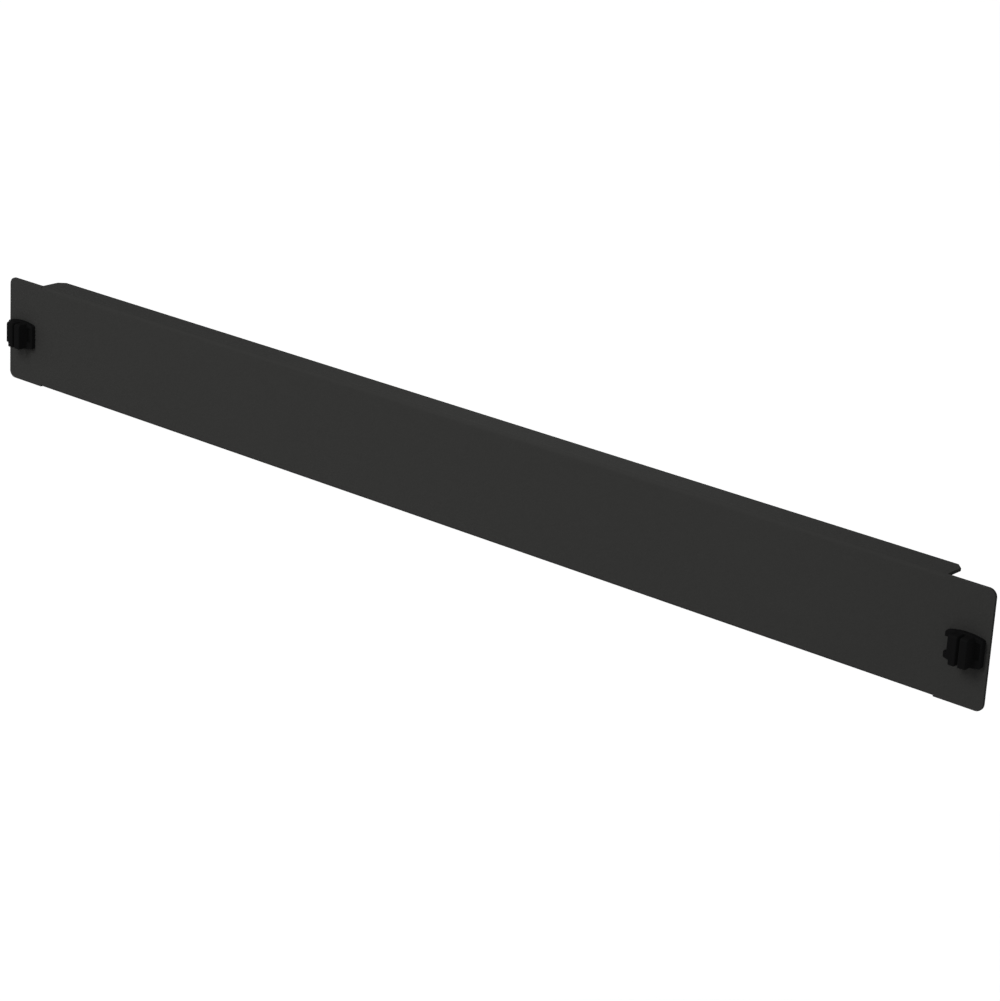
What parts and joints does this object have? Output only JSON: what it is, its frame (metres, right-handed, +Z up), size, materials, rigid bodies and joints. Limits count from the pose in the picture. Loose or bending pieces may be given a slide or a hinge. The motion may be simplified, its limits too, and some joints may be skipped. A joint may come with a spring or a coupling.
{
  "type": "rack blanking panel",
  "caption": "Blanking panel for a 19-inch equipment rack: a folded, powder-coated steel sheet with long flanges and flat ends, held by plastic snap-in latches.",
  "frame": {"origin": "midway between the two latches, on the plane where the backs of the flat ends meet the rack's rails", "axes": "+X along the panel to its right end seen from in front, +Y into the rack, +Z up"},
  "size_m": [0.4826, 0.0181, 0.0436],
  "materials": {
    "panel_coat": "fine matt powder coat, near black",
    "latch_plastic": "black moulded plastic, satin"
  },
  "bodies": {
    "root": {"panel": "panel_coat", "left_latch": "latch_plastic", "right_latch": "latch_plastic"}
  },
  "joints": []
}
